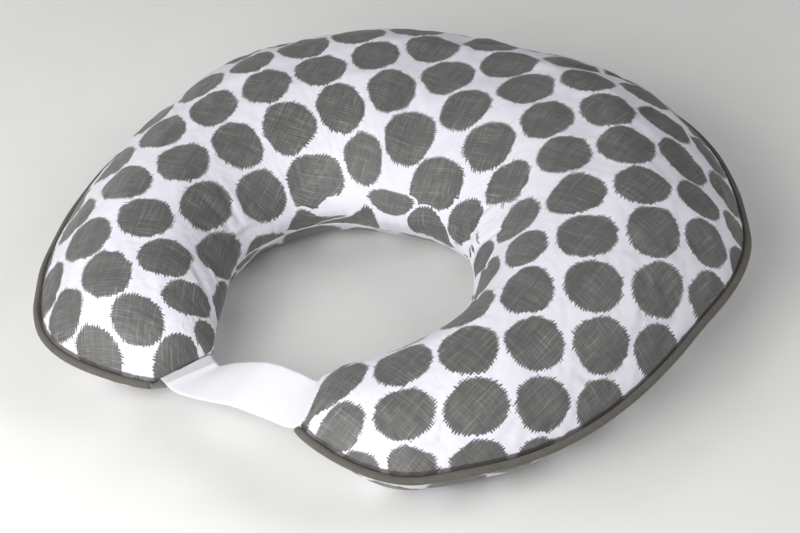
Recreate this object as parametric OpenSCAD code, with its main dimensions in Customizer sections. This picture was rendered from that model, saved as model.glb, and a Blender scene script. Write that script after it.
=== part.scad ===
// C-shaped nursing pillow: zipped cotton cover with piping, inner casing,
// fibre fill and an elastic band across the opening.
// Origin: centre of the footprint, on the floor. +Z up, +Y to the closed back.

/* [Plan] */
// Radius of the outer seam at the back, from the plan centre
outer_back = 308; // [290:1:320]
// Radius of the outer seam at the sides
outer_side = 280; // [270:1:290]
// Radius of the outer seam along the arms
outer_arm = 264; // [255:1:272]
// Radius of the outer seam just before the tips
outer_end = 262; // [252:1:266]
// Radius of the outer seam at the tips
outer_tip = 220; // [210:1:228]
// Radius of the inner seam at the back
inner_back = 48; // [44:1:56]
// Radius of the inner seam at the sides
inner_side = 90; // [84:1:96]
// Radius of the inner seam along the arms
inner_arm = 107; // [102:1:112]
// Radius of the inner seam just before the tips
inner_end = 122; // [116:1:128]
// Radius of the inner seam at the tips
inner_tip = 145; // [140:1:150]
// Angle from the back to each tip
tip_angle = 160; // [158:0.5:162]
// Share of the width that is left at the blunt tip
tip_share = 0.65; // [0.6:0.01:0.72]
// Distance over which the tip rounds off in plan
tip_round = 75; // [65:1:80]

/* [Height] */
// Height of the outer and inner seams at the back
seam_back = 66; // [62:1:70]
// Height of the seams along the arms
seam_arm = 60; // [56:1:64]
// Rise of the upper panel above the seam at the back
rise_back = 80; // [72:1:86]
// Rise of the upper panel along the arms
rise_arm = 62; // [56:1:70]
// Rise of the upper panel at the tips
rise_tip = 38; // [32:1:44]
// How far the lower panel would bulge below the floor line, which flattens it
sag = 5; // [3:0.5:8]
// Exponent of the cross-section across the width
round_p = 2.24; // [2:0.02:2.5]
// Exponent of the cross-section at its edges
round_q = 0.8; // [0.74:0.01:0.86]

/* [Layers] */
// Thickness of the cover cloth
cover_t = 0.9; // [0.8:0.1:1]
// Thickness of the casing cloth
casing_t = 0.7; // [0.6:0.1:0.8]
// Width of the seam allowance
allowance = 7; // [5:0.5:7.5]
// Gap between neighbouring layers
layer_gap = 0.4; // [0.3:0.1:0.5]

/* [Piping] */
// Radius of the finished piping
pipe_r = 3; // [2.8:0.1:3.2]
// Thickness of the bias tape round the cord
tape_t = 0.45; // [0.4:0.05:0.5]

/* [Flex] */
// Radius of the joint face between the two halves, about the flex axis
flex_r = 139; // [138:0.5:141]
// Gap between the two halves at the joint face
flex_gap = 1.8; // [1.6:0.1:2.4]

/* [Zip] */
// Angle of the closed end of the zip, from the back centre
zip_from = -54; // [-54:0.5:-53]
// Angle of the open end of the zip
zip_to = -12; // [-13:0.5:-12]
// Slope of the zip face below the horizontal
zip_slope = 60; // [59:0.5:61]
// Length of the slider along the zip
slider_l = 12; // [10:0.5:13]
// Length of the pull tab
pull_l = 24; // [18:1:28]

/* [Band] */
// Width of the band across the opening
band_w = 47; // [42:1:47]
// Thickness of the band
band_t = 1.2; // [1:0.1:1.3]
// How far the band arches above the tips
band_arch = 6; // [0:1:12]

/* [Label] */
// Length that the care label hangs below the seam
label_l = 32; // [24:1:40]

/* [Hidden] */

// distance from the footprint centre to the plan centre, along Y
plan_y = -50.5;
white = [0.93, 0.92, 0.94];
grey = [0.36, 0.35, 0.35];
taupe = [0.55, 0.52, 0.49];

// knots of the plan and height curves, by angle from the back
ka = [0, 24, 55, 82, 112, 137, tip_angle];
k_outer = [outer_back, outer_back, outer_back, outer_side, outer_arm, outer_end, outer_tip];
k_inner = [inner_back, inner_back + 4, inner_side - 20, inner_side, inner_arm, inner_end, inner_tip];
k_seam = [seam_back, seam_back, seam_back, seam_back - 3, seam_arm, seam_arm, seam_arm];
k_rise = [rise_back, rise_back, rise_back - 1, rise_arm + 9, rise_arm, rise_arm - 13, rise_tip];
k_crest = [0, 0, -0.02, -0.06, -0.12, -0.14, -0.1];

function lerp(a, b, t) = a + (b - a) * t;
function clamp(x, a, b) = min(max(x, a), b);
function slope(v, i) = (v[i + 1] - v[i]) / (ka[i + 1] - ka[i]);
// tangent at a knot, flat where the curve turns or runs level
function tang(v, i) = i == 0 ? 0 : i == len(ka) - 1 ? slope(v, i - 1) :
  let (a = slope(v, i - 1), b = slope(v, i)) a * b <= 0 ? 0 : 2 * a * b / (a + b);
function seg(a, i = 0) = (i >= len(ka) - 2 || a <= ka[i + 1]) ? i : seg(a, i + 1);
function curve(v, angle) = let (a = min(abs(angle), tip_angle), i = seg(a), h = ka[i + 1] - ka[i],
  t = (a - ka[i]) / h, m0 = tang(v, i) * h, m1 = tang(v, i + 1) * h)
  (2 * t * t * t - 3 * t * t + 1) * v[i] + (t * t * t - 2 * t * t + t) * m0
  + (3 * t * t - 2 * t * t * t) * v[i + 1] + (t * t * t - t * t) * m1;

// distance to the tip along the arm, and the rounding that it gives
mid_tip = (outer_tip + inner_tip) / 2 * PI / 180;
function to_tip(a) = max(0, (tip_angle - abs(a)) * mid_tip);
function arc01(t) = sqrt(max(0, 1 - pow(1 - clamp(t, 0, 1), 2)));
function narrow(a) = lerp(tip_share, 1, arc01(to_tip(a) / tip_round));
function low(a) = arc01(to_tip(a) / 70);
function ctr(a) = (curve(k_outer, a) + curve(k_inner, a)) / 2;
function half(a) = (curve(k_outer, a) - curve(k_inner, a)) / 2 * narrow(a);
function rad(a, u, ds, fl) = ctr(a) + (half(a) - ds) * u - fl * sign(u);
function prof(a, u) = let (v = clamp(u - curve(k_crest, a) * (1 - u * u), -1, 1))
  pow(max(0, 1 - pow(abs(v), round_p)), round_q);

// the flex axis and the round joint face about it
flex_y = (outer_back + inner_back) / 2;
function on_face(r, fr) = acos(clamp((r * r + flex_y * flex_y - fr * fr) / (2 * r * flex_y), -1, 1));
function face_angle(u, ds, fl, fr, n = 6, a = 30) = n == 0 ? a :
  face_angle(u, ds, fl, fr, n - 1, on_face(rad(a, u, ds, fl), fr));

// rows of a half: [0, angle] is a radial row, [1, t] and [2, t] lead to the joint face
tip_rows = [0, 2, 6, 12, 20, 32, 48, 68];
join_l = -11;
join_r = 54;
rows_left = concat([for (e = tip_rows) [0, -tip_angle + e / mid_tip]],
  [for (a = [-128, -118, -108, -98, -88, -79, -70, -62, -55, -54, -48, -42, -36, -30, -24, -18, -12, -11]) [0, a]],
  [for (t = [0.2 : 0.2 : 1.01]) [1, t]]);
rows_left_in = concat([for (e = tip_rows) [0, -tip_angle + e / mid_tip]],
  [for (a = [-128, -118, -108, -98, -88, -78, -67, -56, -46, -36, -26, -18, -11]) [0, a]],
  [for (t = [0.2 : 0.2 : 1.01]) [1, t]]);
rows_right = concat([for (t = [0 : 0.2 : 0.81]) [2, t]],
  [for (a = [54, 63, 72, 81, 90, 99, 108, 118, 128]) [0, a]],
  [for (i = [len(tip_rows) - 1 : -1 : 0]) [0, tip_angle - tip_rows[i] / mid_tip]]);
rows_right_in = concat([for (e = tip_rows) [0, tip_angle - e / mid_tip]],
  [for (a = [128, 118, 108, 99, 90, 81, 72, 63, 54]) [0, a]],
  [for (t = [0.8 : -0.2 : -0.01]) [2, max(0, t)]]);
function row_angle(row, u, ds, fl) = row[0] == 0 ? row[1] :
  row[0] == 1 ? lerp(join_l, face_angle(u, ds, fl, flex_r - flex_gap / 2), row[1]) :
  lerp(face_angle(u, ds, fl, flex_r + flex_gap / 2), join_r, row[1]);

// open part of the lower panel's outer edge, where the zip is set in
function in_zip(a) = a >= zip_from - 0.01 && a <= zip_to + 0.01;
zip_edge = 0.942;

// one point of a layer: ds, dz, dt are its insets at the sides, at the crest and at the tip
function put(a, r, z, dt) = let (e = to_tip(a), b = abs(a) < 90 ? a :
  sign(a) * (abs(a) - dt * (1 - min(e / 80, 1)) / mid_tip))
  [r * sin(b), r * cos(b) + plan_y, z];
function pt(row, u, g, ds, dz, dt, fl, top) =
  let (a = row_angle(row, u, ds, fl), s = curve(k_seam, a), p = prof(a, u) * low(a),
    gg = lerp(g[0], g[1], max(clamp(u, 0, 1), 1 - clamp((to_tip(a) - 12) / 15, 0, 1))) + g[2],
    h = top ? curve(k_rise, a) : min(s + sag, s + sag - (s + sag - 46) * clamp(1 - to_tip(a) / 80, 0, 1)),
    z = top ? s + gg + (h - gg - dz) * p : max(dz, s - gg - (h - gg - dz) * p))
  put(a, rad(a, u, ds, fl), z, dt);

// closed sheet between an outer and an inner grid of n rows by m columns
function quads(n, m, o, f) = [for (i = [0 : n - 2], j = [0 : m - 2])
  let (a = o + i * m + j, b = a + 1, c = a + m + 1, d = a + m)
  each (f ? [[a, d, c], [a, c, b]] : [[a, b, c], [a, c, d]])];
function strip(a, b, f) = [for (i = [0 : len(a) - 2])
  each (f ? [[a[i], b[i], b[i + 1]], [a[i], b[i + 1], a[i + 1]]]
          : [[a[i], b[i + 1], b[i]], [a[i], a[i + 1], b[i + 1]]])];
module sheet(outer, inner, n, m, flip = false) {
  k = n * m;
  e1 = [for (j = [0 : m - 1]) j];
  e2 = [for (j = [0 : m - 1]) (n - 1) * m + j];
  e3 = [for (i = [0 : n - 1]) i * m];
  e4 = [for (i = [0 : n - 1]) i * m + m - 1];
  polyhedron(concat(outer, inner), concat(quads(n, m, 0, flip), quads(n, m, k, !flip),
    strip(e1, [for (x = e1) x + k], !flip), strip(e2, [for (x = e2) x + k], flip),
    strip(e3, [for (x = e3) x + k], flip), strip(e4, [for (x = e4) x + k], !flip)));
}

cols = [for (j = [0 : 10]) sin(-90 + 18 * j)];
// columns of a cover panel: both allowances and the panel between them
function cover_cols(a, top) = let (open = !top && in_zip(a), um = open ? zip_edge : 1)
  concat([[-1, allowance]], [for (u = cols) [u > 0 ? u * um : u, 0]], [[um, open ? 0.6 : allowance]]);
module cover_panel(rows, top) {
  t = cover_t;
  outer = [for (r = rows, c = cover_cols(r[0] == 0 ? r[1] : 0, top))
    pt(r, c[0], [0.1, 1, 0], 0, 0, 0, c[1], top)];
  inner = [for (r = rows, c = cover_cols(r[0] == 0 ? r[1] : 0, top))
    pt(r, c[0], [0.1, 1, t], c[1] > 0 ? 0 : 1.4 * t, t, 1.4 * t, c[1], top)];
  sheet(outer, inner, len(rows), len(cols) + 2, !top);
}
casing_z = cover_t + layer_gap;
casing_s = allowance + 2.2;
function cols_of(rows) = rows[0][1] > 0 ? -cols : cols;
module casing_panel(rows, top) {
  t = casing_t;
  outer = [for (r = rows, u = cols_of(rows)) pt(r, u, [0.1, 0.1, 0], casing_s, casing_z, casing_s, 0, top)];
  inner = [for (r = rows, u = cols_of(rows)) pt(r, u, [0.1, 0.1, t], casing_s + 1.4 * t, casing_z + t, casing_s + 1.4 * t, 0, top)];
  sheet(outer, inner, len(rows), len(cols), !top);
}
fill_z = casing_z + casing_t + layer_gap;
fill_s = casing_s + 1.4 * casing_t + 0.8;
module fill_half(rows) {
  up = [for (r = rows, u = cols_of(rows)) pt(r, u, [0.5, 0.5, 0], fill_s, fill_z, fill_s, 0, true)];
  dn = [for (r = rows, u = cols_of(rows)) pt(r, u, [0.5, 0.5, 0], fill_s, fill_z, fill_s, 0, false)];
  sheet(up, dn, len(rows), len(cols));
}

// piping: a run along the outer seam; [x, z] is a point of its section,
// x outwards from the seam
function seam_pt(a) = let (r = rad(a, 1, 0, 0)) [r * sin(a), r * cos(a)];
function seam_dir(a) = let (b = clamp(a, -tip_angle + 0.4, tip_angle - 0.4),
  d = seam_pt(b + 0.4) - seam_pt(b - 0.4)) [-d[1], d[0]] / norm(d);
function pipe_pt(row, x, z) = let (fr = flex_r + (row[0] == 1 ? -1 : 1) * flex_gap / 2,
  r = outer_back + x, a = row[0] == 0 ? row[1] :
  row[0] == 1 ? lerp(join_l, on_face(r, fr), row[1]) : lerp(on_face(r, fr), join_r, row[1]),
  q = row[0] == 0 ? seam_pt(a) + seam_dir(a) * x : [r * sin(a), r * cos(a)])
  [q[0], q[1] + plan_y, curve(k_seam, a) + z];
// the piping stops short of the very tip, where the band is sewn in
function pipe_rows(rows) = [for (r = rows) if (r[0] > 0 || to_tip(r[1]) > 1) r];
// section of the folded tape at a distance d inside its outer face
function tape_section(d) = concat([[-allowance, -0.5 + d], [-0.25, -0.5 + d]], [for (i = [0 : 8])
  let (b = -150 + i * 37.5) [pipe_r + (pipe_r - d) * cos(b), (pipe_r - d) * sin(b)]],
  [[-0.25, 0.5 - d], [-allowance, 0.5 - d]]);
module piping_cover(rows) {
  pr = pipe_rows(rows);
  o = tape_section(0);
  i = tape_section(tape_t);
  sheet([for (r = pr, s = o) pipe_pt(r, s[0], s[1])], [for (r = pr, s = i) pipe_pt(r, s[0], s[1])],
    len(pr), len(o), true);
}
module piping_cord(rows) {
  pr = pipe_rows(rows);
  rr = pipe_r - tape_t - 0.25;
  ring = [for (i = [0 : 7]) [pipe_r + rr * cos(45 * i), rr * sin(45 * i)]];
  n = len(pr);
  polyhedron([for (r = pr, s = ring) pipe_pt(r, s[0], s[1])], concat(
    [for (i = [0 : n - 2], j = [0 : 7]) let (a = i * 8 + j, b = i * 8 + (j + 1) % 8)
      each [[a, b + 8, b], [a, a + 8, b + 8]]],
    [for (j = [1 : 6]) [0, j, j + 1]], [for (j = [1 : 6]) [(n - 1) * 8, (n - 1) * 8 + j + 1, (n - 1) * 8 + j]]));
}

// zip: w runs down the zip face from the seam, d is the depth behind the face
function zp(w, d) = [outer_back - 0.8 - w * cos(zip_slope) - d * sin(zip_slope),
  seam_back - 1.6 - w * sin(zip_slope) + d * cos(zip_slope)];
module arc_bar(a0, a1, w0, w1, d0, d1) {
  translate([0, plan_y, 0]) rotate([0, 0, 90 - a1]) rotate_extrude(angle = a1 - a0, $fn = 180)
    polygon([zp(w0, d0), zp(w0, d1), zp(w1, d1), zp(w1, d0)]);
}
slider_half = slider_l / 2 / outer_back * 180 / PI;
slider_at = zip_from + 0.9 + slider_half;
module at_slider() { translate([0, plan_y, 0]) rotate([0, 0, -slider_at]) children(); }
// frame on the zip face: x along the zip, y down the face, z outwards
module on_zip(w, d) { p = zp(w, d); at_slider() translate([0, p[0], p[1]]) rotate([180 + zip_slope, 0, 0]) children(); }

module zip_tape_upper() { color(grey) arc_bar(zip_from + 0.03, zip_to - 0.03, 0.4, 6.3, 2.2, 2.7); }
module zip_tape_lower() { color(grey) arc_bar(zip_from + 0.03, zip_to - 0.03, 7.1, 17.5, 2.2, 2.7); }
module zip_coil_upper() { color(grey * 0.8) arc_bar(zip_from + 0.7, zip_to - 0.7, 5.2, 6.3, 0.2, 2.2); }
module zip_coil_lower() { color(grey * 0.8) arc_bar(zip_from + 0.7, zip_to - 0.7, 7.1, 8.2, 0.2, 2.2); }
module zip_top_stop() { color([0.6, 0.6, 0.62]) arc_bar(zip_from + 0.1, zip_from + 0.6, 5, 8.4, -0.2, 2.2); }
module zip_bottom_stop() { color([0.6, 0.6, 0.62]) arc_bar(zip_to - 0.6, zip_to - 0.1, 5, 8.4, -0.2, 2.2); }
module zip_slider() {
  a0 = slider_at - slider_half;
  a1 = slider_at + slider_half;
  color([0.62, 0.62, 0.64]) union() {
    translate([0, plan_y, 0]) rotate([0, 0, 90 - a1]) rotate_extrude(angle = a1 - a0, $fn = 180)
      polygon([zp(3.9, -1.3), zp(3.9, -0.1), zp(6.55, -0.1), zp(6.55, 3), zp(4.2, 3), zp(4.2, 3.9),
        zp(9.2, 3.9), zp(9.2, 3), zp(6.85, 3), zp(6.85, -0.1), zp(9.5, -0.1), zp(9.5, -1.3)]);
    for (s = [-1, 1]) on_zip(6.7, -1) translate([s * 3.6 - 0.5, -0.8, 0]) cube([1, 1.6, 2.8]);
    on_zip(6.7, -3.2) translate([-4.1, 0, 0]) rotate([0, 90, 0]) cylinder(r = 0.6, h = 8.2, $fn = 48);
  }
}
module zip_pull() {
  p = zp(6.7, -3.2);
  color([0.62, 0.62, 0.64]) at_slider() translate([0, p[0], p[1]]) difference() {
    union() {
      translate([-1.4, 0, 0]) rotate([0, 90, 0]) cylinder(r = 1.6, h = 2.8, $fn = 48);
      translate([-1.4, -0.45, -4]) cube([2.8, 0.9, 4]);
      translate([-2.6, -0.45, -pull_l + 2.6]) cube([5.2, 0.9, pull_l - 5.2]);
      translate([0, 0.45, -pull_l + 2.6]) rotate([90, 0, 0]) cylinder(r = 2.6, h = 0.9, $fn = 48);
    }
    translate([-5, 0, 0]) rotate([0, 90, 0]) cylinder(r = 0.95, h = 10, $fn = 48);
    translate([0, 2, -pull_l + 3]) rotate([90, 0, 0]) cylinder(r = 1.1, h = 4, $fn = 32);
  }
}

// blank care label, caught in the seam below the piping
module care_label() {
  aa = [for (a = [-62 : 1.15 : -57.3]) a];
  function lp(a, x, z) = let (q = seam_pt(a) + seam_dir(a) * x) [q[0], q[1] + plan_y, curve(k_seam, a) + z];
  color([0.96, 0.96, 0.96]) sheet([for (a = aa, z = [-3.3, -3.3 - label_l / 2, -3.3 - label_l]) lp(a, 0.85, z)],
    [for (a = aa, z = [-3.3, -3.3 - label_l / 2, -3.3 - label_l]) lp(a, 0.4, z)], len(aa), 3);
}

// band: sewn between the panels at one tip, bridging the opening to the other
band_rows = 13;
module band() {
  in_l = 9;
  gl = tip_angle - in_l / mid_tip;
  function line(s, y) = let (a = s * gl, c = ctr(tip_angle), r = c + y * band_w / 2) [r * sin(a), r * cos(a)];
  function bp(i, y, z) = let (t = i / (band_rows - 1), p = line(-1, y), q = line(1, y),
    f = clamp((t - 0.08) / 0.84, 0, 1))
    [lerp(p[0], q[0], t), lerp(p[1], q[1], t) + plan_y,
      seam_arm + z + band_arch * pow(sin(180 * f), 2) * (1 - 0.5 * y)];
  ys = [-1, -0.5, 0, 0.5, 1];
  color(white) sheet([for (i = [0 : band_rows - 1], y = ys) bp(i, y, band_t / 2)],
    [for (i = [0 : band_rows - 1], y = ys) bp(i, y, -band_t / 2)], band_rows, 5, true);
}

module cover_upper_left() { color(white) cover_panel(rows_left, true); }
module cover_lower_left() { color(white * 0.97) cover_panel(rows_left, false); }
module cover_upper_right() { color(white) cover_panel(rows_right, true); }
module cover_lower_right() { color(white * 0.97) cover_panel(rows_right, false); }
module casing_upper_left() { color([0.9, 0.9, 0.86]) casing_panel(rows_left_in, true); }
module casing_lower_left() { color([0.9, 0.9, 0.86]) casing_panel(rows_left_in, false); }
module casing_upper_right() { color([0.9, 0.9, 0.86]) casing_panel(rows_right_in, true); }
module casing_lower_right() { color([0.9, 0.9, 0.86]) casing_panel(rows_right_in, false); }
module fill_left() { color([0.98, 0.98, 0.96]) fill_half(rows_left_in); }
module fill_right() { color([0.98, 0.98, 0.96]) fill_half(rows_right_in); }
module piping_cover_left() { color(taupe) piping_cover(rows_left); }
module piping_cover_right() { color(taupe) piping_cover(rows_right); }
module piping_cord_left() { color([0.9, 0.88, 0.82]) piping_cord(rows_left); }
module piping_cord_right() { color([0.9, 0.88, 0.82]) piping_cord(rows_right); }

cover_upper_left();
cover_lower_left();
casing_upper_left();
casing_lower_left();
fill_left();
piping_cover_left();
piping_cord_left();
band();
zip_tape_upper();
zip_tape_lower();
zip_coil_upper();
zip_coil_lower();
zip_top_stop();
zip_bottom_stop();
care_label();
cover_upper_right();
cover_lower_right();
casing_upper_right();
casing_lower_right();
fill_right();
piping_cover_right();
piping_cord_right();
zip_slider();
zip_pull();
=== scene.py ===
import math
import bpy
import numpy as np
from mathutils import Vector, Matrix


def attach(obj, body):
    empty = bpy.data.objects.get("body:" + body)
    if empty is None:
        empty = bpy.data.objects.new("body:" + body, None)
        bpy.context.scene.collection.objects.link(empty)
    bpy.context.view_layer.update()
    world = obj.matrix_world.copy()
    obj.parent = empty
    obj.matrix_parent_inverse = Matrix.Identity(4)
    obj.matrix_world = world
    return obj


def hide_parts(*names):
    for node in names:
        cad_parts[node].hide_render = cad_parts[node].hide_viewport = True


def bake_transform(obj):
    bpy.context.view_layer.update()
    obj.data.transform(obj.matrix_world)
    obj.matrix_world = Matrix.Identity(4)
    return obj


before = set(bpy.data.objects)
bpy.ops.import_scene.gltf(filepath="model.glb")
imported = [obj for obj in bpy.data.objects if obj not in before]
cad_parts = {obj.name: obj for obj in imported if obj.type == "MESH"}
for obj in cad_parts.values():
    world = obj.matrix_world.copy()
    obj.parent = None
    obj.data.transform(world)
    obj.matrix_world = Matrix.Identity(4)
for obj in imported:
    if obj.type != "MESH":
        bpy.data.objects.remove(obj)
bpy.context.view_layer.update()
MM = 0.001
PLAN_Y = -50.5          # plan centre in the row frame, mm
TIP = 160.0             # angle of each tip from the back, degrees
MID = 182.5 * math.pi / 180
rng = np.random.RandomState(7)

# ------------------------------------------------------------------ curves
KA = np.array([0, 24, 55, 82, 112, 137, 160.0])


def hermite(xs, ys, m, x):
    x = np.clip(x, xs[0], xs[-1])
    i = np.clip(np.searchsorted(xs, x, side="right") - 1, 0, len(xs) - 2)
    h = xs[i + 1] - xs[i]
    t = (x - xs[i]) / h
    return ((2 * t**3 - 3 * t**2 + 1) * ys[i] + (t**3 - 2 * t**2 + t) * h * m[i]
            + (3 * t**2 - 2 * t**3) * ys[i + 1] + (t**3 - t**2) * h * m[i + 1])


def even_curve(vals):
    """The part's own curves: level at the back, no overshoot between knots."""
    v = np.array(vals, float)
    s = np.diff(v) / np.diff(KA)
    m = np.zeros(7)
    for i in range(1, 6):
        m[i] = 0 if s[i - 1] * s[i] <= 0 else 2 * s[i - 1] * s[i] / (s[i - 1] + s[i])
    m[6] = s[5]
    return lambda a: hermite(KA, v, m, np.abs(a))


KD = np.array([-160, -137, -112, -82, -57, -30, -8, 24, 55, 82, 112, 137, 160.0])


def delta_curve(vals):
    v = np.array(vals, float)
    h = np.diff(KD)
    s = np.diff(v) / h
    m = np.zeros(len(v))
    for i in range(1, len(v) - 1):
        if s[i - 1] * s[i] > 0:
            w1, w2 = 2 * h[i] + h[i - 1], h[i] + 2 * h[i - 1]
            m[i] = (w1 + w2) / (w1 / s[i - 1] + w2 / s[i])
    m[0], m[-1] = s[0], s[-1]
    return lambda a: hermite(KD, v, m, a)


C_OUT = even_curve([308, 308, 308, 280, 264, 262, 220])
C_IN = even_curve([48, 52, 70, 90, 107, 122, 145])
C_SEAM = even_curve([66, 66, 66, 63, 60, 60, 60])
C_RISE = even_curve([80, 80, 79, 71, 62, 49, 38])
C_CREST = even_curve([0, 0, -0.02, -0.06, -0.12, -0.14, -0.1])
D_OUT = delta_curve([4.6, 9.8, 6.5, 3.7, 0, 0, 0, 11.3, -1.8, -8.3, -3.1, -10.6, 1.9])
D_IN = delta_curve([0.2, -0.1, 3.6, 3.4, 0.5, -0.9, 2.7, 5.9, 7.2, 3.3, 5.8, 2.9, -1.1])
D_RISE = delta_curve([0.1, 0.1, -0.4, -1.7, -2.3, 1.8, -2.6, -0.2, -0.5, -0.2, -2.5, -3.2, 0])
D_SEAM = delta_curve([-9.7, 0.4, 1.3, -0.7, 0, 0, 0, 1.6, -0.3, 0.1, -4.3, -5.4, 8.2])


def arc01(t):
    t = np.clip(t, 0, 1)
    return np.sqrt(np.clip(1 - (1 - t) ** 2, 0, 1))


def smooth(a, b, x):
    t = np.clip((x - a) / (b - a), 0, 1)
    return t * t * (3 - 2 * t)


def to_tip(a):
    return np.maximum(0, (TIP - np.abs(a)) * MID)


def seam_z(a):
    return C_SEAM(a) + D_SEAM(a)


def radii(a):
    ro, ri = C_OUT(a) + D_OUT(a), C_IN(a) + D_IN(a)
    return (ro + ri) / 2, (ro - ri) / 2 * (0.65 + 0.35 * arc01(to_tip(a) / 75))


def surface(a, u, top):
    """Row-frame point in mm of the stuffed cover at angle a (degrees) and width share u from -1 at the inner seam to 1 at the outer seam."""
    c, h = radii(a)
    r = c + h * u
    v = np.clip(u - C_CREST(a) * (1 - u * u), -1, 1)
    p = np.clip(1 - np.abs(v) ** 2.24, 0, 1) ** 0.8 * arc01(to_tip(a) / 70)
    s = seam_z(a)
    edge = 0.12 + 0.42 * np.clip(u, 0, 1) ** 2
    if top:
        z = s + edge + (C_RISE(a) + D_RISE(a) - edge) * p
    else:
        hb = np.minimum(s + 5, s + 5 - (s + 5 - 46) * np.clip(1 - to_tip(a) / 80, 0, 1))
        z = np.maximum(0.0, s - edge - (hb - edge) * p)
    b = np.radians(a)
    return np.stack([r * np.sin(b), r * np.cos(b) + PLAN_Y, z], -1)


# ------------------------------------------------------------------ grids
N_ROW = 601
N_COL = 97
_s = np.linspace(-1, 1, N_ROW)
ROWS = TIP * np.sign(_s) * (1 - (1 - np.abs(_s)) ** 1.3)
_u = np.linspace(-1, 1, 4001)
_z = 72 * np.clip(1 - np.abs(_u) ** 2.24, 0, 1) ** 0.8
_l = np.concatenate([[0], np.cumsum(np.hypot(np.diff(_u * 105), np.diff(_z)))])
COLS = np.interp(np.linspace(0, _l[-1], N_COL), _l, _u)
COLS = (COLS - COLS[::-1]) / 2
ZIP_A, ZIP_B, ZIP_U = -54.0, -12.0, 0.942


def in_zip(a):
    return smooth(ZIP_A - 0.9, ZIP_A - 0.1, a) * (1 - smooth(ZIP_B + 0.1, ZIP_B + 0.9, a))


A2, U2 = np.meshgrid(ROWS, COLS, indexing="ij")
U_LOW = np.where(U2 > 0, U2 * (1 - (1 - ZIP_U) * in_zip(A2)), U2)
UP = surface(A2, U2, True)
LO = surface(A2, U_LOW, False)


def flatten(P, k, mirror=False):
    """Cloth coordinates in mm: the crest line laid flat with k times its curvature, and the distance across it."""
    d = np.linalg.norm(np.diff(P, axis=1), axis=2)
    S = np.concatenate([np.zeros((P.shape[0], 1)), np.cumsum(d, axis=1)], 1)
    mid = P.shape[1] // 2
    S = S - S[:, mid:mid + 1]
    c = P[:, mid, :2]
    e = np.diff(c, axis=0)
    L, psi = np.hypot(e[:, 0], e[:, 1]), np.unwrap(np.arctan2(e[:, 1], e[:, 0]))
    h0 = psi[len(psi) // 2]
    hk = h0 + (psi - h0) * k
    f = np.concatenate([[[0, 0]], np.cumsum(np.stack([L * np.cos(hk), L * np.sin(hk)], 1), axis=0)])
    f -= f[P.shape[0] // 2]
    hh = np.concatenate([[hk[0]], (hk[1:] + hk[:-1]) / 2, [hk[-1]]])
    n = np.stack([-np.sin(hh), np.cos(hh)], 1)
    if n[P.shape[0] // 2, 1] < 0:
        n = -n
    uv = f[:, None, :] + S[..., None] * n[:, None, :]
    if mirror:
        uv = uv * [-1, 1] + [13, -7]
    return uv, S


# how the cloth was eased and pulled askew when the panel was stuffed: Chebyshev
# terms in angle (12) and width (5), mm along and across the cloth
EASE = np.array([
    (-0.72, -2.92), (-1.76, 2.33), (1.01, -4.96), (-0.49, 1.99), (0.26, -0.32),
    (-10.55, 9.42), (3.82, 0.29), (0.5, 0.51), (-0.11, -1.2), (0.23, -0.66),
    (0.94, -0.01), (-3.37, 3.89), (1.7, 0.92), (0.6, -1.22), (-1.61, 0.15),
    (-9.6, 7.37), (3.63, -2.08), (-0.88, 1.15), (0.66, 0.46), (-0.25, -0.18),
    (-1.14, 4.41), (-5.54, -1.23), (0.1, 7.02), (0.36, -1.53), (-0.24, -0.11),
    (-3.12, 2.51), (2.12, 1.83), (1.11, -1.31), (-1.22, 1.97), (-0.7, 0.49),
    (-2.32, -3.46), (-3.35, 7.46), (0.11, -1.15), (1.81, -0.03), (0.09, -0.18),
    (-0.04, 2.14), (-2.38, 2.95), (-0.58, -1.48), (0.86, 0.64), (0.48, 0.04),
    (-0.97, -0.27), (3.15, -2.18), (-0.17, 0.67), (0.84, 0.23), (-0.6, 0.43),
    (-1.7, 2.32), (-2.06, 0.27), (-1.36, 2.92), (0.19, -0.64), (0.75, 0.38),
    (0.08, 1.73), (-1.87, -1.51), (0.55, 2.58), (0.03, 1.38), (0.3, -0.36),
    (0.42, 0.77), (-2.25, -0.12), (0.99, -0), (1.53, -1.04), (-0.62, 0.29)])


def ease(a, u):
    s = a / 160.0
    P = [np.polynomial.chebyshev.chebval(s, [0] * p + [1]) for p in range(12)]
    Q = [np.polynomial.chebyshev.chebval((u + 0.12) / 1.12, [0] * q + [1]) for q in range(5)]
    return sum((P[p] * Q[q])[..., None] * EASE[p * 5 + q] for p in range(12) for q in range(5))


TH_UP, S_UP = flatten(UP, 0.88)
UV_UP = TH_UP + ease(A2, U2)
UV_LO, S_LO = flatten(LO, 0.88, True)


def normals(P, flip=False):
    a = np.gradient(P, axis=0)
    b = np.gradient(P, axis=1)
    n = np.cross(a, b)
    n /= np.maximum(np.linalg.norm(n, axis=2, keepdims=True), 1e-9)
    return -n if flip else n


# rows run clockwise from above and columns outwards, so row x column points up
N_UP = normals(UP)
if N_UP[N_ROW // 2, N_COL // 2, 2] < 0:
    N_UP = -N_UP
N_LO = normals(LO)
if N_LO[N_ROW // 2, N_COL // 2, 2] > 0:
    N_LO = -N_LO

# ------------------------------------------------------------------ helpers
scene = bpy.context.scene
root = scene.collection


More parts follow.
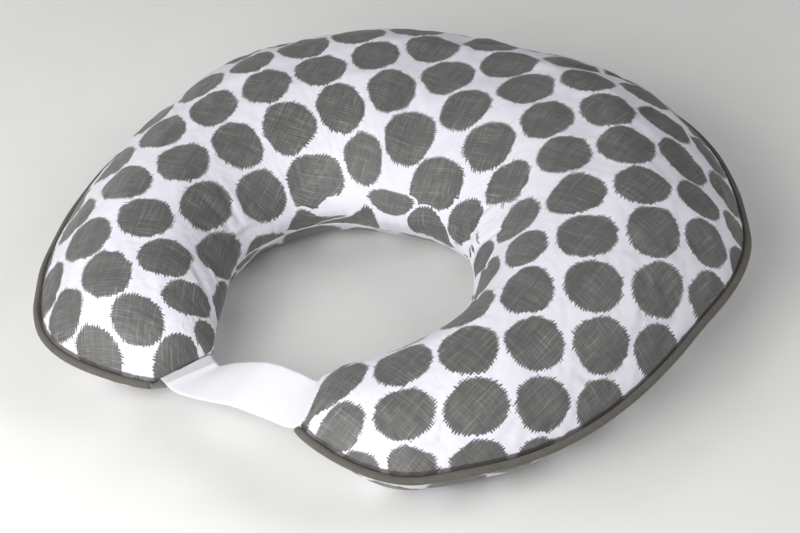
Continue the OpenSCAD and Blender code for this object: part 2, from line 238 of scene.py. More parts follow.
def new_mesh(name, verts, faces, uvs=None, smooth_shade=True):
    me = bpy.data.meshes.new(name)
    me.from_pydata([tuple(v) for v in np.asarray(verts, float)], [], [tuple(int(i) for i in f) for f in faces])
    me.validate(verbose=False)
    for key, uv in (uvs or {}).items():
        lay = me.uv_layers.new(name=key)
        idx = np.zeros(len(me.loops), int)
        me.loops.foreach_get("vertex_index", idx)
        lay.data.foreach_set("uv", np.asarray(uv, np.float32)[idx].ravel())
    if smooth_shade:
        me.polygons.foreach_set("use_smooth", [True] * len(me.polygons))
    me.update()
    ob = bpy.data.objects.new(name, me)
    root.objects.link(ob)
    return ob


def grid_faces(n, m, flip=False, start=0):
    i, j = np.meshgrid(np.arange(n - 1), np.arange(m - 1), indexing="ij")
    a = (start + i * m + j).ravel()
    q = np.stack([a, a + 1, a + m + 1, a + m], 1)
    return q[:, ::-1] if flip else q


def solidify(ob, t, offset=-1):
    mod = ob.modifiers.new("thick", "SOLIDIFY")
    mod.thickness, mod.offset = t * MM, offset
    mod.use_even_offset = False
    return mod


def tube(path, radius, sides=12, cap=True, ups=None, prof=None):
    """Closed tube round a path in mm; returns verts, faces, (along, around) in mm."""
    path = np.asarray(path, float)
    n = len(path)
    t = np.gradient(path, axis=0)
    t /= np.linalg.norm(t, axis=1, keepdims=True)
    up = np.tile([0, 0, 1.0], (n, 1)) if ups is None else np.asarray(ups, float)
    side = np.cross(t, up)
    side /= np.maximum(np.linalg.norm(side, axis=1, keepdims=True), 1e-9)
    up = np.cross(side, t)
    r = np.broadcast_to(np.asarray(radius, float), (n,))
    ang = np.arange(sides) * 2 * np.pi / sides
    ring = np.stack([np.cos(ang), np.sin(ang)], 1) if prof is None else np.asarray(prof)
    v = path[:, None, :] + r[:, None, None] * (side[:, None, :] * ring[None, :, :1] + up[:, None, :] * ring[None, :, 1:])
    faces = []
    i, j = np.meshgrid(np.arange(n - 1), np.arange(sides), indexing="ij")
    a, b = (i * sides + j).ravel(), (i * sides + (j + 1) % sides).ravel()
    faces = [tuple(q) for q in np.stack([a, a + sides, b + sides, b], 1)]
    along = np.concatenate([[0], np.cumsum(np.linalg.norm(np.diff(path, axis=0), axis=1))])
    uv = np.stack(np.broadcast_arrays(along[:, None], (ang * r.mean())[None, :]), -1).reshape(-1, 2)
    if cap:
        faces += [tuple(range(sides)), tuple(reversed(range((n - 1) * sides, n * sides)))]
    return v.reshape(-1, 3), faces, uv


class Build:
    """Gathers several closed bits into one mesh."""

    def __init__(self):
        self.v, self.f, self.uv, self.n = [], [], [], 0

    def add(self, v, f, uv):
        self.v.append(v)
        self.f += [tuple(i + self.n for i in q) for q in f]
        self.uv.append(uv)
        self.n += len(v)

    def make(self, name, smooth_shade=True):
        return new_mesh(name, np.concatenate(self.v) * MM, self.f, {"cloth": np.concatenate(self.uv) * MM}, smooth_shade)


def stitches(path, ups, pitch=3.0, share=0.72, r=0.28, sink=0.1):
    """Thread lying on a seam: one short arched run per stitch."""
    path = np.asarray(path, float)
    L = np.concatenate([[0], np.cumsum(np.linalg.norm(np.diff(path, axis=0), axis=1))])
    n = int(L[-1] / pitch)
    b = Build()
    ring = 6
    for i in range(n):
        s = (i + 0.5) * pitch + np.linspace(-0.5, 0.5, 6) * pitch * share
        p = np.stack([np.interp(s, L, path[:, k]) for k in range(3)], 1)
        up = np.stack([np.interp(s, L, ups[:, k]) for k in range(3)], 1)
        h = np.array([-2.2, -0.2, 0.35, 0.35, -0.2, -2.2]) * r - sink
        v, f, uv = tube(p + up * h[:, None], r * np.array([0.6, 1, 1, 1, 1, 0.6]), ring, ups=up)
        b.add(v, f, uv)
    return b


# ------------------------------------------------------------------ materials
class Nodes:
    def __init__(self, name):
        self.mat = bpy.data.materials.new(name)
        self.mat.use_nodes = True
        self.t = self.mat.node_tree
        self.b = next(n for n in self.t.nodes if n.type == "BSDF_PRINCIPLED")

    def node(self, kind, **kw):
        n = self.t.nodes.new("ShaderNode" + kind)
        for k, v in kw.items():
            setattr(n, k, v)
        return n

    def put(self, sock, v):
        if isinstance(v, bpy.types.NodeSocket):
            self.t.links.new(v, sock)
        elif v is not None:
            sock.default_value = v

    def m(self, op, a, b=None, c=None, clamp=False):
        n = self.node("Math", operation=op, use_clamp=clamp)
        for s, v in zip(n.inputs, (a, b, c)):
            self.put(s, v)
        return n.outputs[0]

    def v(self, op, a, b=None, scale=None):
        n = self.node("VectorMath", operation=op)
        self.put(n.inputs[0], a)
        if b is not None:
            self.put(n.inputs[1], b)
        if scale is not None:
            self.put(n.inputs["Scale"], scale)
        return n.outputs["Value"] if op in ("DOT_PRODUCT", "LENGTH", "DISTANCE") else n.outputs[0]

    def xyz(self, x=0.0, y=0.0, z=0.0):
        n = self.node("CombineXYZ")
        for s, v in zip(n.inputs, (x, y, z)):
            self.put(s, v)
        return n.outputs[0]

    def sep(self, v):
        n = self.node("SeparateXYZ")
        self.put(n.inputs[0], v)
        return n.outputs

    def uv(self, name="cloth", scale=1000.0):
        n = self.node("UVMap", uv_map=name)
        return self.v("SCALE", n.outputs[0], scale=scale)

    def obj(self, scale=1000.0):
        n = self.node("TexCoord")
        return self.v("SCALE", n.outputs["Object"], scale=scale)

    def white(self, vec):
        n = self.node("TexWhiteNoise", noise_dimensions="3D")
        self.put(n.inputs["Vector"], vec)
        return n.outputs["Value"]

    def noise(self, vec, scale=1.0, detail=2.0, rough=0.5, out=0):
        n = self.node("TexNoise", noise_dimensions="3D")
        self.put(n.inputs["Vector"], vec)
        n.inputs["Scale"].default_value = scale
        n.inputs["Detail"].default_value = detail
        n.inputs["Roughness"].default_value = rough
        return n.outputs[out]

    def ramp(self, v, a, b, c=0.0, d=1.0, kind="SMOOTHSTEP"):
        n = self.node("MapRange", interpolation_type=kind)
        for s, x in zip(n.inputs, (v, a, b, c, d)):
            self.put(s, x)
        return n.outputs[0]

    def mix(self, f, a, b, blend="MIX"):
        n = self.node("Mix", data_type="RGBA", blend_type=blend)
        self.put(n.inputs["Factor"], f)
        self.put(n.inputs[6], a)
        self.put(n.inputs[7], b)
        return n.outputs[2]

    def bump(self, h, dist, strength=1.0, base=None):
        n = self.node("Bump")
        n.inputs["Strength"].default_value = strength
        n.inputs["Distance"].default_value = dist
        self.put(n.inputs["Height"], h)
        if base is not None:
            self.put(n.inputs["Normal"], base)
        return n.outputs[0]

    def set(self, **kw):
        for k, v in kw.items():
            self.put(self.b.inputs[k.replace("_", " ")], v)


def rgb(*c):
    return (c[0], c[1], c[2], 1.0)


WHITE = rgb(0.722, 0.717, 0.786)
DOT = rgb(0.094, 0.0925, 0.0905)
THREAD_ANG = math.radians(96.0)


def weave(g, X, Y, px, py, depth, slub=0.5):
    """Over-and-under threads px by py mm with slubs. Returns (height, bright threads one way, the other way, speckle)."""
    kx, ky = g.m("FLOOR", g.m("DIVIDE", X, px)), g.m("FLOOR", g.m("DIVIDE", Y, py))
    n1 = g.noise(g.xyz(g.m("MULTIPLY", kx, 3.17), g.m("MULTIPLY", Y, 0.05), 2.0), 1.0, 1.0)
    n2 = g.noise(g.xyz(g.m("MULTIPLY", X, 0.05), g.m("MULTIPLY", ky, 2.31), 9.0), 1.0, 1.0)
    t1, t2 = g.ramp(n1, 0.55, 0.70), g.ramp(n2, 0.55, 0.70)
    sx = g.m("SINE", g.m("MULTIPLY", X, 2 * math.pi / px))
    sy = g.m("SINE", g.m("MULTIPLY", Y, 2 * math.pi / py))
    h = g.m("ADD", g.m("MULTIPLY", g.m("MULTIPLY", sx, sy), 0.25), g.m("MULTIPLY", g.m("ADD", t1, t2), slub))
    return h, t1, t2, g.white(g.xyz(kx, ky, 1.0))


# Spots at the back of the hole, where the print is drawn into the seam: centre, then rows of the map to a plain spot.
RIM_SPOTS = ((-55.1, -181.5, 1.060, 2.580, 0.761, -0.728),
             (-30.3, -183.2, 1.847, 0.896, 0.420, -0.927),
             (-12.6, -148.1, 0.779, 0.088, 0.468, -2.234),
             (25.6, -158.6, 1.457, -0.714, -0.802, -1.229),
             (-69.5, -203.3, -0.485, 1.558, 0.917, -0.311))
RIM_GONE = ((-3, -5), (-2, -5), (-2, -4), (-4, -5))


def print_cotton(name, origin, spots=(), gone=()):
    g = Nodes(name)
    P = g.v("SUBTRACT", g.uv("cloth"), (origin[0], origin[1], 0))
    wob = g.noise(P, 0.010, 1.0, 0.4, out=1)
    P = g.v("ADD", P, g.v("SCALE", g.v("SUBTRACT", wob, (0.5, 0.5, 0.5)), scale=3.0))
    a, b = (34.5, 37.6), (37.7, -30.4)
    det = a[0] * b[1] - a[1] * b[0]
    ci = g.v("DOT_PRODUCT", P, (b[1] / det, -b[0] / det, 0))
    cj = g.v("DOT_PRODUCT", P, (-a[1] / det, a[0] / det, 0))
    ri, rj = g.m("ROUND", ci), g.m("ROUND", cj)
    centre = g.v("ADD", g.v("SCALE", (a[0], a[1], 0), scale=ri), g.v("SCALE", (b[0], b[1], 0), scale=rj))
    D = g.v("SUBTRACT", P, centre)
    W = g.uv("thread")
    for i, j in gone:
        hit = g.m("MULTIPLY", g.m("COMPARE", ri, float(i), 0.4), g.m("COMPARE", rj, float(j), 0.4))
        D = g.v("ADD", D, g.v("SCALE", (90.0, 90.0, 0), scale=hit))
    if gone:
        # undyed where the cloth is pinched at the right bend
        pinch = g.m("LESS_THAN", g.v("LENGTH", g.v("SUBTRACT", P, (-168.2, 67.8, 0))), 4.3)
        D = g.v("ADD", D, g.v("SCALE", (90.0, 90.0, 0), scale=pinch))
    for k, (px, py, m00, m01, m10, m11) in enumerate(spots):
        E = g.v("SUBTRACT", W, (px, py, 0))
        Q = g.xyz(g.v("DOT_PRODUCT", E, (m00, m01, 0)), g.v("DOT_PRODUCT", E, (m10, m11, 0)), 0.0)
        near = g.m("LESS_THAN", g.v("LENGTH", Q), 25.5)
        D = g.v("ADD", D, g.v("SCALE", g.v("SUBTRACT", Q, D), scale=near))
        ri = g.m("ADD", ri, g.m("MULTIPLY", near, g.m("SUBTRACT", 20.0 + k, ri)))
        rj = g.m("ADD", rj, g.m("MULTIPLY", near, g.m("SUBTRACT", 31.0 + k, rj)))
    cell = g.xyz(ri, rj, 4.0)
    t = (math.cos(THREAD_ANG), math.sin(THREAD_ANG), 0)
    n = (-t[1], t[0], 0)
    x, y = g.v("DOT_PRODUCT", D, t), g.v("DOT_PRODUCT", D, n)
    X, Y = g.v("DOT_PRODUCT", W, t), g.v("DOT_PRODUCT", W, n)
    rad = g.m("MAXIMUM", g.v("LENGTH", g.xyz(x, y, 0.0)), 0.01)
    cx, sy = g.m("ABSOLUTE", g.m("DIVIDE", x, rad)), g.m("ABSOLUTE", g.m("DIVIDE", y, rad))
    size = g.m("ADD", 22.3, g.m("MULTIPLY", g.m("SUBTRACT", g.white(cell), 0.5), 1.6))
    # the outline is lobed a little, as a resist-dyed spot is
    lobe = g.m("MULTIPLY", g.m("SUBTRACT", g.noise(g.v("ADD", P, g.v("SCALE", cell, scale=37.0)), 0.055, 1.0, 0.4), 0.5), 5.5)
    size = g.m("ADD", size, lobe)

    def teeth(across, seed, pitch, fine, tall, small):
        """How far the dye creeps past the circle along one set of threads, mm: slanted points of uneven height and finer ones between."""
        warp = g.m("ADD", across, g.m("MULTIPLY", g.noise(g.xyz(g.m("MULTIPLY", across, 0.22), seed, 3.0), 1.0, 0.0), 2.0))
        q = g.m("DIVIDE", warp, pitch)
        k = g.m("FLOOR", q)
        saw = g.m("MINIMUM", 1.0, g.m("MULTIPLY", g.m("SUBTRACT", 1.0, g.m("FRACT", q)), 1.45))
        w = g.white(g.xyz(k, seed, 7.0))
        k2 = g.m("FLOOR", g.m("DIVIDE", across, fine))
        w2 = g.white(g.xyz(k2, seed, 13.0))
        point = g.m("MULTIPLY", g.m("MULTIPLY", g.m("ADD", 0.4, g.m("MULTIPLY", w, 0.8)), saw), tall)
        return g.m("ADD", g.m("SUBTRACT", point, 0.4 * tall), g.m("MULTIPLY", g.m("SUBTRACT", w2, 0.5), small)), w2

    s1 = g.m("ADD", g.m("ADD", g.m("MULTIPLY", ri, 3.0), g.m("MULTIPLY", rj, 17.0)), g.m("SIGN", x))
    s2 = g.m("ADD", g.m("ADD", g.m("MULTIPLY", ri, 5.0), g.m("MULTIPLY", rj, 11.0)), g.m("MULTIPLY", g.m("SIGN", y), 2.0))
    e1, w2 = teeth(Y, s1, 2.2, 1.1, 2.8, 0.6)
    e2, w3 = teeth(X, s2, 2.0, 1.1, 2.4, 0.5)
    creep = g.m("ADD", g.m("MULTIPLY", e1, g.m("POWER", cx, 0.6)), g.m("MULTIPLY", e2, g.m("POWER", sy, 1.2)))
    inside = g.ramp(g.m("SUBTRACT", g.m("ADD", size, creep), rad), -0.13, 0.13)
    h, t1, t2, sp = weave(g, X, Y, 0.62, 0.62, 0.1)

    # long slub threads that show through the dye, pale and dark, in both directions
    def slub(across, along, width, seed, lo, hi, f):
        k = g.m("FLOOR", g.m("DIVIDE", across, width))
        n_ = g.noise(g.xyz(g.m("MULTIPLY", k, 5.3), g.m("MULTIPLY", along, f), seed), 1.0, 0.0)
        return g.ramp(n_, lo, hi)

    l1, l2 = slub(Y, X, 0.30, 5.0, 0.62, 0.76, 0.035), slub(X, Y, 0.30, 11.0, 0.62, 0.76, 0.035)
    d1, d2 = slub(Y, X, 0.34, 25.0, 0.60, 0.76, 0.04), slub(X, Y, 0.34, 31.0, 0.60, 0.76, 0.04)
    c1, c2 = slub(Y, X, 0.62, 41.0, 0.30, 0.70, 0.012), slub(X, Y, 0.62, 47.0, 0.30, 0.70, 0.012)
    pale = g.m("MULTIPLY", g.m("ADD", l1, l2), 0.34, clamp=True)
    dye = g.mix(g.m("MULTIPLY", g.m("ADD", c1, c2), 0.5), rgb(*(0.80 * x for x in DOT[:3])), rgb(*(1.20 * x for x in DOT[:3])))
    dye = g.mix(pale, dye, rgb(0.40, 0.40, 0.37))
    dye = g.mix(g.m("MULTIPLY", g.m("MAXIMUM", d1, d2), 0.42), dye, rgb(0.060, 0.058, 0.055))
    mott = g.noise(P, 0.045, 3.0, 0.6)
    dye = g.mix(1.0, dye, g.mix(g.m("ADD", g.m("MULTIPLY", sp, 0.55), g.m("MULTIPLY", mott, 0.45)), rgb(0.84, 0.84, 0.84), rgb(1.14, 1.14, 1.14)), "MULTIPLY")
    ground = g.mix(g.m("MULTIPLY", g.m("ADD", g.m("ADD", t1, t2), sp), 0.33), WHITE, rgb(0.70, 0.695, 0.77))
    ground = g.mix(g.m("MULTIPLY", g.m("ADD", d1, d2), 0.10), ground, rgb(0.56, 0.56, 0.63))
    col = g.mix(inside, ground, dye)
    # the print does not reach the folded edge at the inner seam
    edge = g.sep(g.uv("edge"))
    col = g.mix(g.ramp(g.m("ADD", edge[1], g.m("MULTIPLY", w2, 0.6)), 1.5, 1.8, 1.0, 0.0), col, WHITE)
    # darker, mottled colour within 9 mm of the outer seam, and painted shade in the ditch beside the piping: about the
    # last 5 mm of the panel darkened almost to black
    near_seam_dark = g.m("MULTIPLY", g.ramp(edge[0], 0.0, 9.0, 1.0, 0.0), g.ramp(mott, 0.35, 0.7, 0.25, 1.0))
    col = g.mix(g.m("MULTIPLY", near_seam_dark, 0.10), col, rgb(0.42, 0.40, 0.39))
    ditch_shade = g.ramp(g.m("ADD", edge[0], g.m("MULTIPLY", g.noise(P, 0.12, 2.0, 0.5), 1.8)), 4.8, 5.9, 1.0, 0.0)
    col = g.mix(g.m("MULTIPLY", ditch_shade, 0.85), col, rgb(0.035, 0.030, 0.028))
    g.set(Base_Color=col, Roughness=0.5, Sheen_Weight=0.1, Sheen_Roughness=0.45, Specular_IOR_Level=0.6)
    pucker = g.noise(g.v("MULTIPLY", P, (1.0, 1.0, 1.0)), 0.16, 2.0, 0.5)
    nb = g.bump(pucker, 0.0005, 0.5)
    g.set(Normal=g.bump(h, 0.00018, 0.6, nb))
    return g.mat


def plain_weave(name, col, col2, px=0.5, py=0.5, turn=0.0, rough=0.85, sheen=0.1, bump=0.00015, source="uv", slub=0.5, dirt=0.0):
    g = Nodes(name)
    P = g.uv("cloth") if source == "uv" else g.obj()
    c, s = math.cos(turn), math.sin(turn)
    X, Y = g.v("DOT_PRODUCT", P, (c, s, 0)), g.v("DOT_PRODUCT", P, (-s, c, 0))
    h, t1, t2, sp = weave(g, X, Y, px, py, 0.1, slub)
    mott = g.noise(P, 0.06, 3.0, 0.6)
    f = g.m("ADD", g.m("MULTIPLY", sp, 0.5), g.m("MULTIPLY", g.m("ADD", t1, mott), 0.4), clamp=True)
    out = g.mix(f, rgb(*col), rgb(*col2))
    if dirt:
        out = g.mix(g.m("MULTIPLY", g.ramp(mott, 0.5, 0.75), dirt), out, rgb(*(0.55 * x for x in col)))
    g.set(Base_Color=out, Roughness=rough, Sheen_Weight=sheen, Specular_IOR_Level=0.3)
    g.set(Normal=g.bump(h, bump, 0.7))
    return g.mat


def knit(name):
    g = Nodes(name)
    P = g.uv("cloth")
    x, y, _ = g.sep(P)
    # columns of loops along the band, 0.9 mm apart
    col = g.m("MULTIPLY", x, 2 * math.pi / 1.3)
    rib = g.m("ABSOLUTE", g.m("SINE", g.m("MULTIPLY", y, math.pi / 0.9)))
    loop = g.m("ABSOLUTE", g.m("SINE", g.m("ADD", g.m("MULTIPLY", col, 0.5), g.m("MULTIPLY", rib, 1.1))))
    h = g.m("MULTIPLY", g.m("ADD", g.m("MULTIPLY", rib, 0.8), loop), 0.5)
    fuzz = g.noise(P, 0.9, 3.0, 0.6)
    wide = g.noise(P, 0.035, 2.0, 0.5)
    f = g.m("ADD", g.m("MULTIPLY", h, 0.45), g.m("MULTIPLY", g.m("ADD", fuzz, wide), 0.28), clamp=True)
    col = g.mix(f, rgb(0.64, 0.632, 0.67), rgb(0.76, 0.75, 0.79))
    e = g.sep(g.uv("edge"))
    # painted shade: the band's left end, where it turns down into the tip and lies in shadow, is coloured grey over
    # roughly its first 16 mm
    col = g.mix(g.ramp(e[0], 7.0, 7.6, 1.0, 0.0), col, rgb(0.52, 0.515, 0.545))
    hem = g.m("MULTIPLY", g.ramp(e[1], 1.0, 1.3), g.ramp(e[1], 1.6, 1.9, 1.0, 0.0))
    col = g.mix(g.m("MULTIPLY", hem, 0.25), col, rgb(0.5, 0.5, 0.55))
    g.set(Base_Color=col, Roughness=0.8, Sheen_Weight=0.2, Sheen_Roughness=0.4, Specular_IOR_Level=0.3)
    g.set(Normal=g.bump(g.m("ADD", h, g.m("MULTIPLY", fuzz, 0.5)), 0.00016, 0.6))
    return g.mat


def metal(name, col, rough=0.32):
    g = Nodes(name)
    P = g.obj()
    wear = g.noise(P, 0.35, 4.0, 0.65)
    fine = g.noise(P, 3.0, 2.0, 0.6)
    g.set(Base_Color=g.mix(g.ramp(wear, 0.4, 0.65), rgb(*col), rgb(*(0.62 * x for x in col))), Metallic=1.0,
          Roughness=g.m("ADD", rough - 0.08, g.m("MULTIPLY", g.m("ADD", wear, fine), 0.14)))
    g.set(Normal=g.bump(fine, 0.00004, 0.4))
    return g.mat


def nylon(name, col):
    g = Nodes(name)
    P = g.obj()
    n = g.noise(P, 0.8, 3.0, 0.6)
    g.set(Base_Color=g.mix(n, rgb(*(0.8 * x for x in col)), rgb(*(1.2 * x for x in col))), Roughness=g.m("ADD", 0.36, g.m("MULTIPLY", n, 0.2)), Specular_IOR_Level=0.5)
    g.set(Normal=g.bump(n, 0.00005, 0.4))
    return g.mat


def fibre(name):
    g = Nodes(name)
    P = g.obj()
    n1 = g.noise(g.v("MULTIPLY", P, (1.0, 0.15, 0.4)), 1.4, 5.0, 0.7)
    n2 = g.noise(g.v("MULTIPLY", P, (0.15, 1.0, 0.4)), 1.3, 5.0, 0.7)
    f = g.m("MAXIMUM", n1, n2)
    g.set(Base_Color=g.mix(f, rgb(0.62, 0.61, 0.58), rgb(0.9, 0.9, 0.88)), Roughness=0.95, Sheen_Weight=0.3)
    g.set(Normal=g.bump(f, 0.002, 0.8))
    return g.mat


M_UPPER = print_cotton("print_cotton_upper", (240.5, -226.2), RIM_SPOTS, RIM_GONE)
M_LOWER = print_cotton("print_cotton_lower", (34.0, 28.0))
M_PIPE = plain_weave("piping_bias", (0.088, 0.079, 0.069), (0.142, 0.129, 0.114), 0.6, 0.6, math.radians(45), 0.82, 0.12, 0.00026, dirt=0.45)
M_CORD = plain_weave("cotton_cord", (0.62, 0.58, 0.5), (0.8, 0.77, 0.7), 0.9, 0.6, math.radians(28), 0.9, 0.1, 0.0003)
M_CASE = plain_weave("casing_weave", (0.70, 0.69, 0.64), (0.82, 0.81, 0.77), 0.4, 0.4, 0.0, 0.9, 0.1)
M_TAPE = plain_weave("zip_tape_weave", (0.15, 0.14, 0.135), (0.26, 0.25, 0.24), 0.35, 0.6, 0.0, 0.8, 0.1, 0.0001, source="obj")
M_LABEL = plain_weave("label_satin", (0.78, 0.78, 0.79), (0.90, 0.90, 0.91), 0.22, 0.9, 0.0, 0.45, 0.2, 0.00006)
M_THREAD = plain_weave("sewing_thread", (0.10, 0.09, 0.085), (0.2, 0.19, 0.18), 0.2, 0.35, math.radians(30), 0.6, 0.1, 0.00008)
M_THREAD_W = plain_weave("white_thread", (0.74, 0.73, 0.78), (0.86, 0.85, 0.9), 0.2, 0.35, math.radians(30), 0.6, 0.1, 0.00008)
M_KNIT = knit("band_knit")
M_COIL = nylon("zip_nylon", (0.11, 0.105, 0.10))
M_METAL = metal("zip_metal", (0.62, 0.61, 0.59))
M_FILL = fibre("fibre_fill")


def paint(ob, mat):
    ob.data.materials.clear()
    ob.data.materials.append(mat)


# ------------------------------------------------------------------ simulation
STEP_R, STEP_C = 2, 2


def simulate():
    """The two cover panels, sewn into one stuffed bag, settle with a little more cloth than the shape needs. Returns how far each grid point moved, in mm."""
    ri, ci = np.arange(0, N_ROW, STEP_R), np.arange(0, N_COL, STEP_C)
    U, L = UP[np.ix_(ri, ci)].copy(), surface(A2, U2, False)[np.ix_(ri, ci)].copy()
    n, m = len(ri), len(ci)
    up_id = np.arange(n * m).reshape(n, m)
    lo_id = np.full((n, m), -1)
    # the seams and the tips are shared
    lo_id[:, 0], lo_id[:, -1], lo_id[0, :], lo_id[-1, :] = up_id[:, 0], up_id[:, -1], up_id[0, :], up_id[-1, :]
    inner = lo_id < 0
    lo_id[inner] = n * m + np.arange(inner.sum())
    verts = np.concatenate([U.reshape(-1, 3), L[inner]])
    q = grid_faces(n, m)
    f_up, f_lo = up_id.ravel()[q], lo_id.ravel()[q][:, ::-1]
    r = np.random.RandomState(11)
    start = verts.copy()
    verts = verts + r.normal(0, 0.12, verts.shape)
    verts[:, 2] = np.maximum(verts[:, 2], 0)
    ob = new_mesh("bag", verts * MM, np.concatenate([f_up, f_lo]))
    a = np.concatenate([A2[np.ix_(ri, ci)].ravel(), A2[np.ix_(ri, ci)][inner]])
    u = np.concatenate([U2[np.ix_(ri, ci)].ravel(), U2[np.ix_(ri, ci)][inner]])
    seam = (np.abs(u) > 0.9999) | (to_tip(a) < 0.01)
    pin = ob.vertex_groups.new(name="pin")
    low = start[:, 2] < 1.0
    for i in range(len(verts)):
        pin.add([i], 1.0 if seam[i] else (0.5 if low[i] else 0.10), "REPLACE")
    # more spare cloth by the inner seam, where the curve gathers it, and at the right-hand bend
    spare = 0.25 + 0.75 * np.clip((-u - 0.1) / 0.9, 0, 1) + 0.25 * np.clip((u - 0.6) / 0.4, 0, 1)
    spare *= 0.55 + 0.45 * np.exp(-((a - 62) / 34.0) ** 2) + 0.35 * np.exp(-((a + 70) / 30.0) ** 2)
    spare = np.clip(spare, 0, 1)
    sg = ob.vertex_groups.new(name="spare")
    for i in range(len(verts)):
        sg.add([i], float(spare[i]), "REPLACE")
    mod = ob.modifiers.new("cloth", "CLOTH")
    s = mod.settings
    s.quality = 5
    s.mass = 0.2
    s.tension_stiffness = s.compression_stiffness = 18
    s.shear_stiffness = 8
    s.bending_stiffness = 0.4
    s.air_damping = 1.0
    s.use_pressure = True
    s.uniform_pressure_force = 1.2
    s.vertex_group_mass = "pin"
    s.pin_stiffness = 0.6
    s.vertex_group_shrink = "spare"
    s.shrink_min = 0.0
    s.shrink_max = -0.075
    s.effector_weights.gravity = 0.0
    mod.point_cache.frame_start, mod.point_cache.frame_end = 1, 20
    scene.frame_start, scene.frame_end = 1, 20
    for fr in range(1, 19):
        scene.frame_set(fr)
    ev = ob.evaluated_get(bpy.context.evaluated_depsgraph_get())
    out = np.zeros(len(verts) * 3)
    ev.data.vertices.foreach_get("co", out)
    out = out.reshape(-1, 3) / MM
    scene.frame_set(1)
    me = ob.data
    bpy.data.objects.remove(ob)
    bpy.data.meshes.remove(me)
    d = out - start
    length = np.linalg.norm(d, axis=1, keepdims=True)
    print("bag moved", "mean", length.mean().round(2), "max", length.max().round(2))
    d *= np.minimum(1, 6.0 / np.maximum(length, 1e-9))
    return ri, ci, d[up_id], d[lo_id]


def blur(D, sr, sc):
    """Gaussian blur over rows and columns, edges held."""
    def one(A, s, axis):
        k = np.arange(-int(3 * s) - 1, int(3 * s) + 2)
        w = np.exp(-0.5 * (k / s) ** 2)
        w /= w.sum()
        A = np.moveaxis(A, axis, 0)
        P = np.concatenate([np.repeat(A[:1], -k[0], 0), A, np.repeat(A[-1:], k[-1], 0)])
        out = sum(wi * P[i:i + len(A)] for i, wi in enumerate(w))
        return np.moveaxis(out, 0, axis)
    return one(one(D, sr, 0), sc, 1)


def upsample(D, ri, ci):
    """Cubic interpolation of a coarse grid onto the fine one, by rows and then by columns."""
    def one(A, x, xi):
        A = np.asarray(A)
        h = np.gradient(A, axis=0) / np.gradient(xi.astype(float))[:, None, None]
        i = np.clip(np.searchsorted(xi, x, side="right") - 1, 0, len(xi) - 2)
        w = (xi[i + 1] - xi[i]).astype(float)
        t = ((x - xi[i]) / w)[:, None, None]
        w = w[:, None, None]
        return ((2 * t**3 - 3 * t**2 + 1) * A[i] + (t**3 - 2 * t**2 + t) * w * h[i]
                + (3 * t**2 - 2 * t**3) * A[i + 1] + (t**3 - t**2) * w * h[i + 1])
    B = one(D, np.arange(N_ROW), ri)
    B = np.moveaxis(B, 1, 0)
    B = one(B, np.arange(N_COL), ci)
    return np.moveaxis(B, 0, 1)


ri_, ci_, du, dl = simulate()
MV_UP, MV_LO = upsample(du, ri_, ci_), upsample(dl, ri_, ci_)
# the outline stays as cut: only the wrinkles are kept in full
MV_UP -= 0.85 * blur(MV_UP, 16, 9)
MV_LO -= 0.85 * blur(MV_LO, 16, 9)


def fold(P, path, width, depth, lip=0.0, side=1):
    """A fold held in the cloth along a path of (angle, width share): a valley of the given half width with a raised lip on one side, mm. It fades at both ends."""
    q = np.array([surface(np.array([a]), np.array([u]), True)[0] for a, u in path])
    t = np.linspace(0, 1, 41)
    L = np.concatenate([[0], np.cumsum(np.linalg.norm(np.diff(q, axis=0), axis=1))])
    line = np.stack([np.interp(t * L[-1], L, q[:, k]) for k in range(3)], 1)
    flat = P.reshape(-1, 3)
    near = np.where(np.min(np.linalg.norm(flat[:, None, :] - line[None, ::8, :], axis=2), axis=1) < L[-1] * 0.2 + 4 * width + 10)[0]
    sub = flat[near]
    D = np.linalg.norm(sub[:, None, :] - line[None, :, :], axis=2)
    k = np.argmin(D, axis=1)
    d = D[np.arange(len(k)), k]
    tan = np.gradient(line, axis=0)[k]
    n = N_UP.reshape(-1, 3)[near]
    sg = np.sign(np.sum(np.cross(tan, n) * (sub - line[k]), axis=1)) * side
    ends = np.sin(np.pi * np.clip(t[k], 0.02, 0.98)) ** 0.6
    over = np.clip(1 - np.minimum(np.abs(k - 0.0), np.abs(40.0 - k)) / 1.0, 0, 1)
    x = sg * d
    val = -depth * np.exp(-(x / width) ** 2) + lip * np.exp(-((x - 1.9 * width) / (1.2 * width)) ** 2)
    out = np.zeros(len(flat))
    out[near] = val * ends * (1 - 0.8 * over)
    return out.reshape(P.shape[:2])


